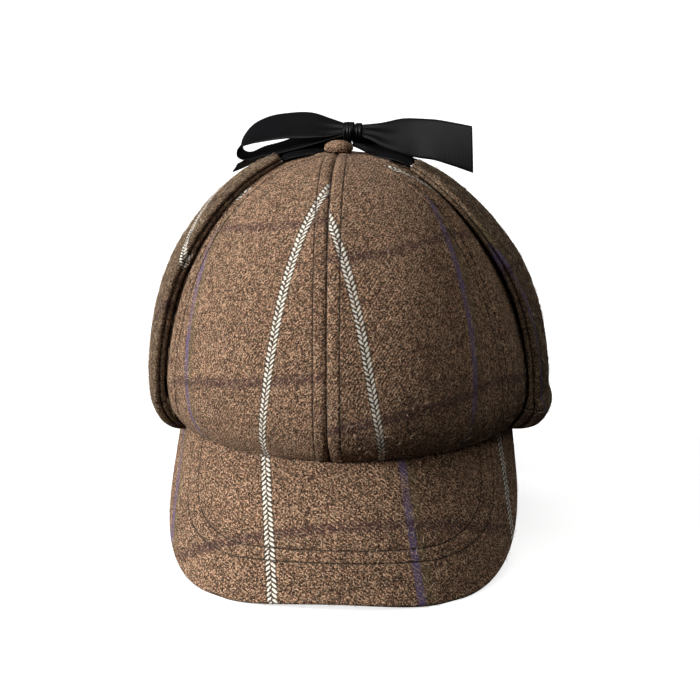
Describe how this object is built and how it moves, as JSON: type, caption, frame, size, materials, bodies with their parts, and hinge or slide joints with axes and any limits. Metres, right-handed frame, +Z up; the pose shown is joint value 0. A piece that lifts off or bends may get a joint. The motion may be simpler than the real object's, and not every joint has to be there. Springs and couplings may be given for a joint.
{
  "type": "deerstalker hat",
  "caption": "Tweed deerstalker hat with a peak at front and back, ear flaps folded up along the crown, a covered button and a black ribbon tied in a half bow on top.",
  "frame": {"origin": "on the floor that the two peaks stand on, under the middle of the hat's bounding box", "axes": "+Z up through the crown, -Y towards the front peak, +Y towards the back peak, +X to the right as seen from the front"},
  "size_m": [0.2094, 0.2578, 0.2144],
  "materials": {
    "tweed": "brown wool tweed with an overcheck",
    "flap_tweed": "brown wool tweed, in shade",
    "ribbon": "black ribbed ribbon"
  },
  "bodies": {
    "root": {"crown_front_right": "tweed", "crown_side_right": "tweed", "crown_back_right": "tweed", "crown_back_left": "tweed", "crown_side_left": "tweed", "crown_front_left": "tweed", "peak_front": "tweed", "peak_back": "tweed", "ear_flap_right": "flap_tweed", "ear_flap_left": "flap_tweed", "top_button": "flap_tweed", "bow_knot": "ribbon", "bow_loop": "ribbon", "bow_tail_right": "ribbon", "bow_tail_left": "ribbon", "ribbon_tie_right": "ribbon", "ribbon_tie_left": "ribbon"}
  },
  "joints": []
}
